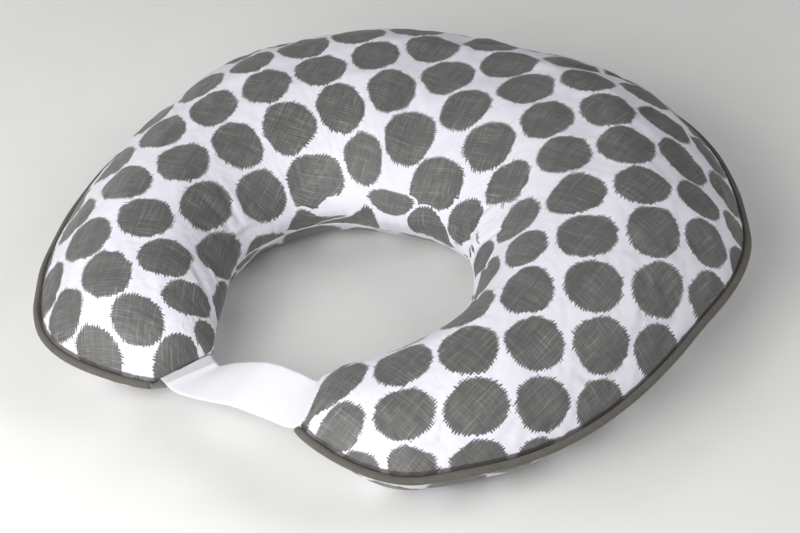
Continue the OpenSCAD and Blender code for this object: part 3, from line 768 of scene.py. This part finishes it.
def creases(P, N, UVc, S, top):
    """Folds that the cloth holds, as depths along the normal in mm."""
    a, u = A2, U2
    inn = np.linalg.norm(P - P[:, :1], axis=2)      # distance from the inner seam
    out = np.linalg.norm(P - P[:, -1:], axis=2)     # distance from the outer seam
    d = np.zeros(a.shape)
    r = np.random.RandomState(3 if top else 5)
    along_out = np.concatenate([[0], np.cumsum(np.linalg.norm(np.diff(P[:, -1], axis=0), axis=1))])[:, None]
    along_in = np.concatenate([[0], np.cumsum(np.linalg.norm(np.diff(P[:, 0], axis=0), axis=1))])[:, None]
    # small puckers that the stitching draws along both seams
    for k in range(7):
        wl = r.uniform(9, 24)
        ph, am = r.uniform(0, 6.28), r.uniform(0.10, 0.26)
        mod = 0.5 + 0.5 * np.sin(along_out / r.uniform(60, 140) + r.uniform(0, 6))
        d += am * mod * np.sin(along_out * 2 * np.pi / wl + ph + out * r.uniform(-0.05, 0.05)) * np.exp(-out / r.uniform(7, 14)) * np.clip(out / 1.5, 0, 1)
    for k in range(7):
        wl = r.uniform(8, 20)
        ph, am = r.uniform(0, 6.28), r.uniform(0.15, 0.4)
        mod = 0.4 + 0.6 * np.sin(along_in / r.uniform(30, 80) + r.uniform(0, 6)) ** 2
        d += am * mod * np.sin(along_in * 2 * np.pi / wl + ph + inn * r.uniform(-0.08, 0.08)) * np.exp(-inn / r.uniform(8, 22)) * np.clip(inn / 1.5, 0, 1)
    if top:
        # the pleat by the inner back corner and the soft folds that run up from it
        d += fold(P, [(-116, -0.955), (-110, -0.95), (-103, -0.962), (-97, -0.99)], 2.2, 7.0, 3.0, -1)
        d += fold(P, [(-111, -0.90), (-110.5, -0.78), (-110, -0.60)], 4.0, 1.6, 1.0)
        d += fold(P, [(-106, -0.92), (-104, -0.80), (-101, -0.62)], 3.5, 1.3, 0.8)
        d += fold(P, [(-116, -0.92), (-119, -0.80), (-121, -0.62)], 3.5, 1.2, 0.7)
        d += fold(P, [(-130.5, -0.80), (-134.5, -0.88), (-139, -0.965)], 1.5, 1.6, 1.2)
        d += fold(P, [(-137, -0.67), (-142, -0.80), (-148, -0.93)], 4.0, 1.5, 0.9)
        # gathers at the far inner bend
        d += fold(P, [(32, -0.965), (42, -0.955), (54, -0.965), (66, -0.985)], 1.8, 3.2, 2.4, 1)
        d += fold(P, [(62, -0.97), (66, -0.86), (70, -0.66)], 2.6, 1.8, 1.0)
        d += fold(P, [(78, -0.97), (84, -0.86), (92, -0.68)], 2.4, 1.8, 1.1)
        d += fold(P, [(94, -0.97), (103, -0.84), (107, -0.62)], 2.4, 1.5, 0.9)
        d += fold(P, [(48, -0.95), (50, -0.82), (52, -0.62)], 3.0, 1.3, 0.8)
        # the long shallow pleat above the inner back rim
        d += fold(P, [(-40, -0.955), (-27, -0.95), (-11, -0.952), (9, -0.96), (24, -0.975)], 1.6, 2.6, 1.8, 1)
        # the dent by the right tip's inner corner, the shoulder at the back and wrinkles by the outer bend
        d += fold(P, [(150, -0.55), (154, -0.62), (157, -0.75)], 4.5, 2.4, 0.8)
        d += fold(P, [(-15, 0.30), (-13, 0.46), (-12, 0.66)], 8.0, 1.6, 0.6)
        d += fold(P, [(101, 0.58), (98, 0.72), (95.5, 0.88)], 3.2, 1.5, 0.9)
        d += fold(P, [(106, 0.66), (104, 0.80), (102, 0.92)], 3.0, 1.0, 0.7)
        d += fold(P, [(88, 0.70), (86, 0.82), (84, 0.92)], 3.0, 0.9, 0.6)
    return d


def apply_layers():
    up = UP + MV_UP + N_UP * creases(UP, N_UP, UV_UP, S_UP, True)[..., None]
    lo = LO + MV_LO + N_LO * (creases(LO, N_LO, UV_LO, S_LO, False) * smooth(0.5, 6.0, LO[..., 2]))[..., None]
    lo[..., 2] = np.maximum(lo[..., 2], 0.0)
    up[:, 0], up[:, -1], up[0], up[-1] = UP[:, 0], UP[:, -1], UP[0], UP[-1]
    lo[:, 0], lo[0], lo[-1] = LO[:, 0], LO[0], LO[-1]
    lo[:, -1] = LO[:, -1]
    z = in_zip(ROWS)[:, None, None]
    near = smooth(0.72, 0.86, U2)[..., None]
    lo = lo * (1 - z * near) + LO * z * near
    return up, lo


F_UP, F_LO = apply_layers()

# ------------------------------------------------------------------ cover panels


def rim_drop(a):
    """How far down the inner wall the visible seam sits below the stuffed edge, mm."""
    return (12.0 + 9.0 * smooth(-112, -84, a)) * smooth(-159.5, -148, a) * (1 - smooth(22, 62, a))


EXT = 12                # columns of the upper panel beyond the inner edge


def roll_over(up, lo, drop):
    """Move the inner seam down the wall: returns the upper grid with EXT more columns, and the lower grid from the new seam out, with the wall distance of each added column."""
    d = np.cumsum(np.concatenate([np.zeros((N_ROW, 1)), np.linalg.norm(np.diff(lo, axis=1), axis=2)], 1), axis=1)
    fall = lo[:, :1, 2] - lo[..., 2]
    cut = np.array([np.interp(drop[i], fall[i, :48], np.arange(48)) for i in range(N_ROW)])
    def at(c):
        k = np.clip(np.floor(c).astype(int), 0, N_COL - 2)
        f = (c - k)[..., None]
        rows = np.arange(N_ROW)[:, None]
        return lo[rows, k] * (1 - f) + lo[rows, k + 1] * f, d[rows, k] * (1 - f[..., 0]) + d[rows, k + 1] * f[..., 0]
    t = np.linspace(1, 0, EXT, endpoint=False)[None, :]
    ext, dist = at(cut[:, None] * t)
    c2 = cut[:, None] + (N_COL - 1 - cut[:, None]) * np.linspace(0, 1, N_COL)[None, :]
    low, _ = at(c2)
    whole = np.concatenate([ext, up], 1)
    # the cloth rolls over the old edge without a fold
    soft = blur(np.concatenate([whole[:, :1]] * 1 + [whole], 1), 1.0, 2.2)[:, 1:]
    col = np.arange(EXT + N_COL)[None, :]
    w = np.exp(-((col - EXT) / 5.0) ** 2) * np.clip(drop / 12.0, 0, 1)[:, None] * np.clip(col / 3.0, 0, 1)
    whole = whole * (1 - w[..., None]) + soft * w[..., None]
    return whole, low, dist


def seam_frame(a):
    """Outer seam point, outward direction in plan and run direction at angle a, in mm."""
    p = surface(a, np.ones_like(a), True)
    p[..., 2] = seam_z(a)
    q1, q0 = surface(np.clip(a + 0.4, -TIP, TIP), np.ones_like(a), True), surface(np.clip(a - 0.4, -TIP, TIP), np.ones_like(a), True)
    t = q1 - q0
    t[..., 2] = 0
    t /= np.linalg.norm(t, axis=-1, keepdims=True)
    o = np.stack([-t[..., 1], t[..., 0], 0 * t[..., 0]], -1)
    return p, o, t


def panel(name, F, UVc, TH, top):
    """One printed panel with its seam allowances turned in, as a closed shell 0.9 mm thick."""
    inn = np.cumsum(np.concatenate([np.zeros((N_ROW, 1)), np.linalg.norm(np.diff(F, axis=1), axis=2)], 1), axis=1)
    dist_in = inn
    dist_out = inn[:, -1:] - inn
    # allowances: away from the seam into the bag, level
    b = np.radians(ROWS)
    rad = np.stack([np.sin(b), np.cos(b), 0 * b], 1)
    sgn = 1.0 if top else -1.0
    z = in_zip(ROWS)[:, None] if not top else np.zeros((N_ROW, 1))
    mid = F.shape[1] // 2
    def turn(edge, direction, d):
        q = edge + rad * direction * d
        q[:, 2] = edge[:, 2] + sgn * 0.02 * d
        return q
    inner = [turn(F[:, 0], 1.0, d) for d in (5.0, 2.5, 0.8)]
    keep = np.array([0.8, 2.5, 5.0])
    outer = [turn(F[:, -1], -1.0, 0) + (rad * -d) * (1 - 0.9 * z) for d in keep]
    G = np.concatenate([np.stack(inner, 1), F, np.stack(outer, 1)], 1)
    m = G.shape[1]
    pad = lambda A, k: np.concatenate([np.repeat(A[:, :1], 3, 1), A, np.repeat(A[:, -1:], 3, 1)], 1)
    uv = pad(UVc, 0)
    e0, e1 = pad(dist_out, 0), pad(dist_in, 0)
    faces = grid_faces(N_ROW, m, flip=not top)
    ob = new_mesh(name, G.reshape(-1, 3) * MM, faces,
                  {"cloth": uv.reshape(-1, 2) * MM, "edge": np.stack([e0, e1], -1).reshape(-1, 2) * MM, "thread": pad(TH, 0).reshape(-1, 2) * MM})
    c = ob.data.polygons[(N_ROW // 2) * (m - 1) + m // 2 + (8 if top else 0)].normal
    if (c.z < 0) == top:
        ob.data.flip_normals()
    solidify(ob, 0.9)
    return ob


W_UP, W_LO, ROLL = roll_over(F_UP, F_LO, rim_drop(ROWS))
_dir = TH_UP[:, 1] - TH_UP[:, 0]
_dir /= np.linalg.norm(_dir, axis=1, keepdims=True)
TH_W = np.concatenate([TH_UP[:, :1] - ROLL[..., None] * _dir[:, None, :], TH_UP], 1)
UV_W = TH_W + ease(np.broadcast_to(ROWS[:, None], TH_W.shape[:2]), np.concatenate([-1 - ROLL / 110.0, U2], 1))
UV_LOW, _ = flatten(W_LO, 0.88, True)
UV_LOW = blur(UV_LOW, 9, 0.4)
cover_upper = panel("cover_upper", W_UP, UV_W, blur(TH_W, 14, 2), True)
cover_lower = panel("cover_lower", W_LO, UV_LOW, blur(UV_LOW, 14, 2), False)
paint(cover_upper, M_UPPER)
paint(cover_lower, M_LOWER)

# ------------------------------------------------------------------ casing and fill
sub_r = np.unique(np.concatenate([np.arange(0, N_ROW, 3), [N_ROW - 1]]))
sub_c = np.arange(0, N_COL, 3)
FN_UP, FN_LO = normals(F_UP), normals(F_LO)
if FN_UP[N_ROW // 2, N_COL // 2, 2] < 0:
    FN_UP = -FN_UP
if FN_LO[N_ROW // 2, N_COL // 2, 2] > 0:
    FN_LO = -FN_LO


def inner_layer(depth, side, top):
    """A layer inside the bag: pulled back from the seams by side and from the cover by depth, mm."""
    a = ROWS[sub_r][:, None]
    u = COLS[sub_c][None, :]
    aa = np.sign(a) * np.maximum(0, np.abs(a) - side / MID * (1 - np.minimum(to_tip(a) / 80, 1)))
    aa, uu = np.broadcast_arrays(aa, u)
    c, h = radii(aa)
    P = surface(aa, uu, top)
    r = c + (h - side) * uu
    P[..., 0], P[..., 1] = r * np.sin(np.radians(aa)), r * np.cos(np.radians(aa)) + PLAN_Y
    s = seam_z(aa)
    k = (np.abs(P[..., 2] - s) - depth).clip(0) / np.maximum(np.abs(P[..., 2] - s), 1e-6)
    P[..., 2] = s + (P[..., 2] - s) * k
    # stay under the deepest fold nearby, smoothed
    base, face, nrm = (UP, F_UP, N_UP) if top else (LO, F_LO, N_LO)
    dn = np.minimum(0, np.sum((face - base) * nrm, axis=2))
    for ax, k in ((0, 8), (1, 4)):
        dn = np.min([np.roll(dn, j, ax) for j in range(-k, k + 1)], axis=0)
    P += (blur(dn[..., None], 4, 2)[np.ix_(sub_r, sub_c)]) * nrm[np.ix_(sub_r, sub_c)]
    if not top:
        P[..., 2] = np.maximum(P[..., 2], depth)
    return P


def casing(name, top):
    P = inner_layer(4.4, 11.0, top)
    uv, _ = flatten(P, 0.88)
    ob = new_mesh(name, P.reshape(-1, 3) * MM, grid_faces(len(sub_r), len(sub_c), flip=not top), {"cloth": uv.reshape(-1, 2) * MM})
    c = ob.data.polygons[(len(sub_r) // 2) * (len(sub_c) - 1) + len(sub_c) // 2].normal
    if (c.z < 0) == top:
        ob.data.flip_normals()
    solidify(ob, 0.7)
    paint(ob, M_CASE)
    return ob


casing_upper = casing("casing_upper", True)
casing_lower = casing("casing_lower", False)


def fill_body():
    T, B = inner_layer(6.4, 14.5, True), inner_layer(6.4, 14.5, False)
    n, m = T.shape[:2]
    q = grid_faces(n, m)
    top, bot = np.arange(n * m).reshape(n, m), n * m + np.arange(n * m).reshape(n, m)
    f = [tuple(x) for x in q] + [tuple(x[::-1] + n * m) for x in q]
    def wall(a, b):
        return [(a[i], a[i + 1], b[i + 1], b[i]) for i in range(len(a) - 1)]
    f += wall(top[0, ::-1], bot[0, ::-1]) + wall(top[-1], bot[-1]) + wall(top[:, 0], bot[:, 0]) + wall(top[::-1, -1], bot[::-1, -1])
    ob = new_mesh("fibre_filling", np.concatenate([T.reshape(-1, 3), B.reshape(-1, 3)]) * MM, f)
    import bmesh
    bm = bmesh.new()
    bm.from_mesh(ob.data)
    bmesh.ops.recalc_face_normals(bm, faces=bm.faces)
    bm.to_mesh(ob.data)
    bm.free()
    paint(ob, M_FILL)
    return ob


filling = fill_body()

# ------------------------------------------------------------------ piping
PA = np.linspace(-159.75, 159.75, 900)


def pipe_path(off=3.0, lift=0.0):
    p, o, t = seam_frame(PA)
    L = np.concatenate([[0], np.cumsum(np.linalg.norm(np.diff(p, axis=0), axis=1))])
    wave = 0.45 * np.sin(L / 13.0 + 1.0) * np.sin(L / 41.0) + 0.35 * np.sin(L / 23.0 + 2.0)
    # the hand-fed tape wanders most round the left tip
    wave += 1.3 * np.exp(-((PA + 128) / 14.0) ** 2) * np.sin(L / 9.5)
    dz = 0.4 * np.sin(L / 17.0 + 0.5) * np.sin(L / 53.0 + 1.0)
    dz *= 1 - in_zip(PA)
    wave *= 1 - in_zip(PA)
    q = p + o * (off + 0.35 * wave)[:, None]
    q[:, 2] += lift + dz
    return q, o, t, L


pq, po, pt_, pL = pipe_path()


def piping():
    """Bias tape folded round the cord: the roll and the two layers of its flange."""
    n = len(PA)
    ang = np.radians(np.linspace(-152, 152, 19))
    R = 3.0
    sec = [(-6.2, 0.36), (-3.6, 0.36)] + [(-(-R * math.cos(a)) * 1.0, R * math.sin(a)) for a in -ang] + [(-3.6, -0.36), (-6.2, -0.36)]
    sec = np.array(sec)
    # the roll is plucked a little at each stitch
    pl = 1 - 0.018 * (0.5 + 0.5 * np.cos(pL * 2 * np.pi / 3.0)) - 0.03 * np.sin(pL / 11.0) * np.sin(pL / 37.0)
    v = pq[:, None, :] + po[:, None, :] * (sec[None, :, 0:1] * pl[:, None, None])
    v[..., 2] += sec[None, :, 1] * pl[:, None]
    m = len(sec)
    around = np.concatenate([[0], np.cumsum(np.linalg.norm(np.diff(sec, axis=0), axis=1))])
    uv = np.stack(np.broadcast_arrays(pL[:, None], around[None, :]), -1)
    ob = new_mesh("piping_cover", v.reshape(-1, 3) * MM, grid_faces(n, m), {"cloth": uv.reshape(-1, 2) * MM})
    f = ob.data.polygons[(n // 2) * (m - 1) + m // 2]
    if f.normal.dot(Vector(po[n // 2])) < 0:
        ob.data.flip_normals()
    solidify(ob, 0.45)
    paint(ob, M_PIPE)
    return ob


piping_cover = piping()
cv, cf, cuv = tube(pq, 2.3, 12)
piping_cord = new_mesh("piping_cord", cv * MM, cf, {"cloth": cuv * MM})
paint(piping_cord, M_CORD)
# stitching in the ditch between the panel and the roll
sp_ = pq - po * 2.75 + np.array([0, 0, 1.35])
su_ = po * 0.35 + np.array([0, 0, 0.93])
seam_thread = stitches(sp_, su_, 3.0, 0.78, 0.27).make("seam_stitching")
paint(seam_thread, M_THREAD)

# ------------------------------------------------------------------ band


def band():
    nt, ny = 121, 19
    t = np.linspace(0, 1, nt)[:, None]
    y = np.linspace(-1, 1, ny)[None, :]          # -1 inner edge, 1 outer edge
    ga = TIP - 9 / MID
    def end(sgn):
        a = np.array([sgn * ga])
        c = radii(np.array([sgn * TIP]))[0][0]
        r = c + y[0] * 23.5
        b = math.radians(sgn * ga)
        return np.stack([r * math.sin(b), r * math.cos(b) + PLAN_Y], -1)
    L, R = end(-1), end(1)
    xy = L[None] * (1 - t[..., None]) + R[None] * t[..., None]
    zl, zr = float(seam_z(np.array([-TIP]))[0]), float(seam_z(np.array([TIP]))[0])
    z = zl + (zr - zl) * smooth(0.02, 0.98, t) + 0 * y
    # the slack band: its inner edge dips beside the left tip and stands up in the middle, its outer edge hangs lower
    inner, outer = (1 - y) / 2, (1 + y) / 2
    ti = t[:, 0]
    zi = np.interp(ti, [0, 0.066, 0.08, 0.12, 0.14, 0.20, 0.29, 0.41, 0.53, 0.65, 0.81, 0.89, 0.935, 1], [0, 0, -2.5, -10.5, -10.5, -6.5, -1.7, 2.2, 5.5, 5.4, 1.8, -1.2, 0, 0])
    zo = np.interp(ti, [0, 0.066, 0.08, 0.12, 0.17, 0.31, 0.49, 0.66, 0.82, 0.88, 0.935, 1], [0, 0, -2.0, -8.5, -9.7, -9.1, -7, -10.5, -13.6, -10.5, 0, 0])
    zi, zo = (blur(q[:, None, None] * np.ones((1, 2, 1)), 1.4, 0.3)[:, :1, 0] for q in (zi, zo))
    z = z + inner * zi + outer * zo
    # slack across the width, and a soft ripple
    z = z + 1.6 * (1 - y * y) * np.sin(np.pi * t) ** 2 + 0.5 * np.sin(9 * t + 2 * y) * np.sin(np.pi * t)
    P = np.stack([xy[..., 0], xy[..., 1], z], -1)
    d = np.concatenate([np.zeros((1, ny)), np.cumsum(np.linalg.norm(np.diff(P, axis=0), axis=2), axis=0)])
    uv = np.stack([d, 23.5 * np.broadcast_to(y, d.shape)], -1)
    # the first edge distance starts 9 mm in from the left end; the knit colours the band grey, as painted shade, until
    # this distance reaches 7 mm
    ed = np.stack([np.maximum(d - 9.0, 0.0), 23.5 * (1 - np.abs(np.broadcast_to(y, d.shape)))], -1)
    ob = new_mesh("elastic_band", P.reshape(-1, 3) * MM, grid_faces(nt, ny), {"cloth": uv.reshape(-1, 2) * MM, "edge": ed.reshape(-1, 2) * MM})
    if ob.data.polygons[len(ob.data.polygons) // 2].normal.z < 0:
        ob.data.flip_normals()
    solidify(ob, 1.2, 0)
    paint(ob, M_KNIT)
    return ob, float(d[-1].mean())


elastic_band, band_len = band()

# ------------------------------------------------------------------ zip


def zp(w, d):
    s = math.radians(60)
    return 308 - 0.8 - w * math.cos(s) - d * math.sin(s), 66 - 1.6 - w * math.sin(s) + d * math.cos(s)


def coil(name, w0, w1, sign):
    """Nylon coil: one flattened spiral along the tape edge."""
    pitch, turns = 1.25, None
    a0, a1 = -54 + 0.75, -12 - 0.75
    length = math.radians(a1 - a0) * 306
    turns = int(length / pitch)
    k = 14
    th = np.linspace(0, turns * 2 * np.pi, turns * k)
    w = (w0 + w1) / 2 + sign * (w1 - w0) / 2 * 0.78 * np.cos(th)
    d = 1.2 + 0.72 * np.sin(th)
    a = a0 + (a1 - a0) * th / th[-1] + (0.5 if sign > 0 else 0.0) * (a1 - a0) / turns
    r, z = zp(w, d)
    b = np.radians(a)
    p = np.stack([r * np.sin(b), r * np.cos(b) + PLAN_Y, z], 1)
    v, f, uv = tube(p, 0.26, 6, ups=np.tile([0.3, 0.2, 0.93], (len(p), 1)))
    ob = new_mesh(name, v * MM, f, {"cloth": uv * MM})
    paint(ob, M_COIL)
    return ob


coil_upper = coil("zip_coil_upper_turns", 5.0, 6.9, 1)
coil_lower = coil("zip_coil_lower_turns", 6.5, 8.4, -1)


def zip_row(w, depth, n=400, a0=-53.6, a1=-12.4):
    a = np.linspace(a0, a1, n)
    r, z = zp(w, depth)
    b = np.radians(a)
    p = np.stack([r * np.sin(b), r * np.cos(b) + PLAN_Y, 0 * b + z], 1)
    s = math.radians(60)
    up = np.stack([math.sin(s) * np.sin(b), math.sin(s) * np.cos(b), 0 * b - math.cos(s)], 1)
    return p, up


zs = stitches(*zip_row(4.4, 2.2), 2.6, 0.7, 0.22)
for w in (8.9, 14.6):
    p, up = zip_row(w, 2.2)
    q = stitches(p, up, 2.6, 0.7, 0.22)
    zs.v += q.v
    zs.f += [tuple(i + zs.n for i in f) for f in q.f]
    zs.uv += q.uv
    zs.n += q.n
zip_thread = zs.make("zip_stitching")
paint(zip_thread, M_THREAD)

# ------------------------------------------------------------------ care label


def label():
    na, nz = 13, 25
    a = np.linspace(-62, -57.4, na)
    p, o, t = seam_frame(a)
    k = np.linspace(0, 1, nz)
    P = np.zeros((na, nz, 3))
    for j, s in enumerate(k):
        off = 0.65 + 1.6 * math.sin(s * 2.6) ** 2 * s
        P[:, j] = p + o * (off + 0.5 * np.sin(np.linspace(0, 3.0, na)) * s)[:, None]
        P[:, j, 2] = p[:, 2] - 2 - 32 * s
    w = np.concatenate([[0], np.cumsum(np.linalg.norm(np.diff(p, axis=0), axis=1))])
    uv = np.stack(np.broadcast_arrays(w[:, None], 32 * k[None, :]), -1)
    ob = new_mesh("care_label_satin", P.reshape(-1, 3) * MM, grid_faces(na, nz), {"cloth": uv.reshape(-1, 2) * MM})
    solidify(ob, 0.25, 0)
    paint(ob, M_LABEL)
    return ob, float(w[-1])


care, label_w = label()

# ------------------------------------------------------------------ frame
for ob, nodes, slot in (
    (cover_upper, ("cover_upper_left", "cover_upper_right"), "cover_cloth"),
    (cover_lower, ("cover_lower_left", "cover_lower_right"), "cover_cloth"),
    (casing_upper, ("casing_upper_left", "casing_upper_right"), "casing_cloth"),
    (casing_lower, ("casing_lower_left", "casing_lower_right"), "casing_cloth"),
    (filling, ("fill_left", "fill_right"), "fibre_fill"),
    (piping_cover, ("piping_cover_left", "piping_cover_right"), "piping_tape"),
    (piping_cord, ("piping_cord_left", "piping_cord_right"), "cotton_cord"),
    (seam_thread, (), "piping_tape"),
):
    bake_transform(ob)
    if nodes:
        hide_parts(*nodes)
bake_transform(elastic_band)
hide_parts("band")
for ob, node, slot in ((coil_upper, "zip_coil_upper", "zip_coil"), (coil_lower, "zip_coil_lower", "zip_coil"), (care, "care_label", "label_satin")):
    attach(ob, "left_half")
    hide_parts(node)
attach(zip_thread, "left_half")
for node, mat in (("zip_tape_upper", M_TAPE), ("zip_tape_lower", M_TAPE), ("zip_top_stop", M_METAL), ("zip_bottom_stop", M_METAL), ("zip_slider", M_METAL), ("zip_pull", M_METAL)):
    paint(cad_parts[node], mat)
for node in ("zip_slider", "zip_pull"):
    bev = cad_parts[node].modifiers.new("bevel", "BEVEL")
    bev.width, bev.segments, bev.limit_method, bev.angle_limit = 0.00016, 2, "ANGLE", 0.6

# ------------------------------------------------------------------ stage
fl = new_mesh("floor", [(-4, -4, 0), (4, -4, 0), (4, 4, 0), (-4, 4, 0)], [(0, 1, 2, 3)], smooth_shade=False)
g = Nodes("paper_sweep")
P = g.obj()
pn = g.noise(P, 0.02, 4.0, 0.6)
g.set(Base_Color=g.mix(pn, rgb(0.76, 0.76, 0.75), rgb(0.80, 0.80, 0.785)), Roughness=0.75, Specular_IOR_Level=0.25)
g.set(Normal=g.bump(g.noise(P, 0.9, 3.0, 0.6), 0.00012, 0.3))
paint(fl, g.mat)

T = np.array([23.17, 7.86 + PLAN_Y, 60.0])
az, el, rho = math.radians(36.55), math.radians(38.31), math.radians(-4.5)
bk = np.array([math.sin(az) * math.cos(el), -math.cos(az) * math.cos(el), math.sin(el)])
r0 = np.array([math.cos(az), math.sin(az), 0.0])
u0 = np.cross(bk, r0)
right = r0 * math.cos(rho) + u0 * math.sin(rho)
upv = -r0 * math.sin(rho) + u0 * math.cos(rho)
cam = bpy.data.objects.new("camera", bpy.data.cameras.new("camera"))
root.objects.link(cam)
cam.data.sensor_width = 36.0
cam.data.lens = 36.0 * 1984.98 / 800
cam.data.clip_start, cam.data.clip_end = 0.05, 30
loc = (T + bk * 1631.88) * MM
cam.matrix_world = Matrix(((right[0], upv[0], bk[0], loc[0]), (right[1], upv[1], bk[1], loc[1]), (right[2], upv[2], bk[2], loc[2]), (0, 0, 0, 1)))
scene.camera = cam


def lamp(name, azimuth, elevation, dist, size, power, colour=(1, 1, 1), size_y=None, aim=(0, 0, 0.05)):
    a, e = math.radians(azimuth), math.radians(elevation)
    d = Vector((math.sin(a) * math.cos(e), -math.cos(a) * math.cos(e), math.sin(e)))
    li = bpy.data.lights.new(name, "AREA")
    li.shape = "RECTANGLE"
    li.size, li.size_y = size, size_y or size
    li.energy, li.color = power, colour
    ob = bpy.data.objects.new(name, li)
    root.objects.link(ob)
    ob.location = Vector(aim) + d * dist
    ob.rotation_mode = "QUATERNION"
    ob.rotation_quaternion = (-d).to_track_quat("-Z", "Y")
    return ob


lamp("key", 8, 32, 1.6, 0.9, 20.6, (1.0, 0.995, 0.985))
lamp("key_left", -28, 33, 1.35, 0.9, 8.2, (1.0, 0.995, 0.985))
lamp("left", -100, 22, 1.4, 0.8, 3.1)
lamp("right_back", 110, 40, 2.0, 1.0, 14.0)
lamp("left_back", -150, 45, 2.0, 1.0, 4.3)
world = bpy.data.worlds.new("studio")
scene.world = world
world.use_nodes = True
world.node_tree.nodes["Background"].inputs[0].default_value = (0.93, 0.95, 1.0, 1)
world.node_tree.nodes["Background"].inputs[1].default_value = 0.05
scene.view_settings.view_transform = "Standard"
scene.view_settings.look = "None"
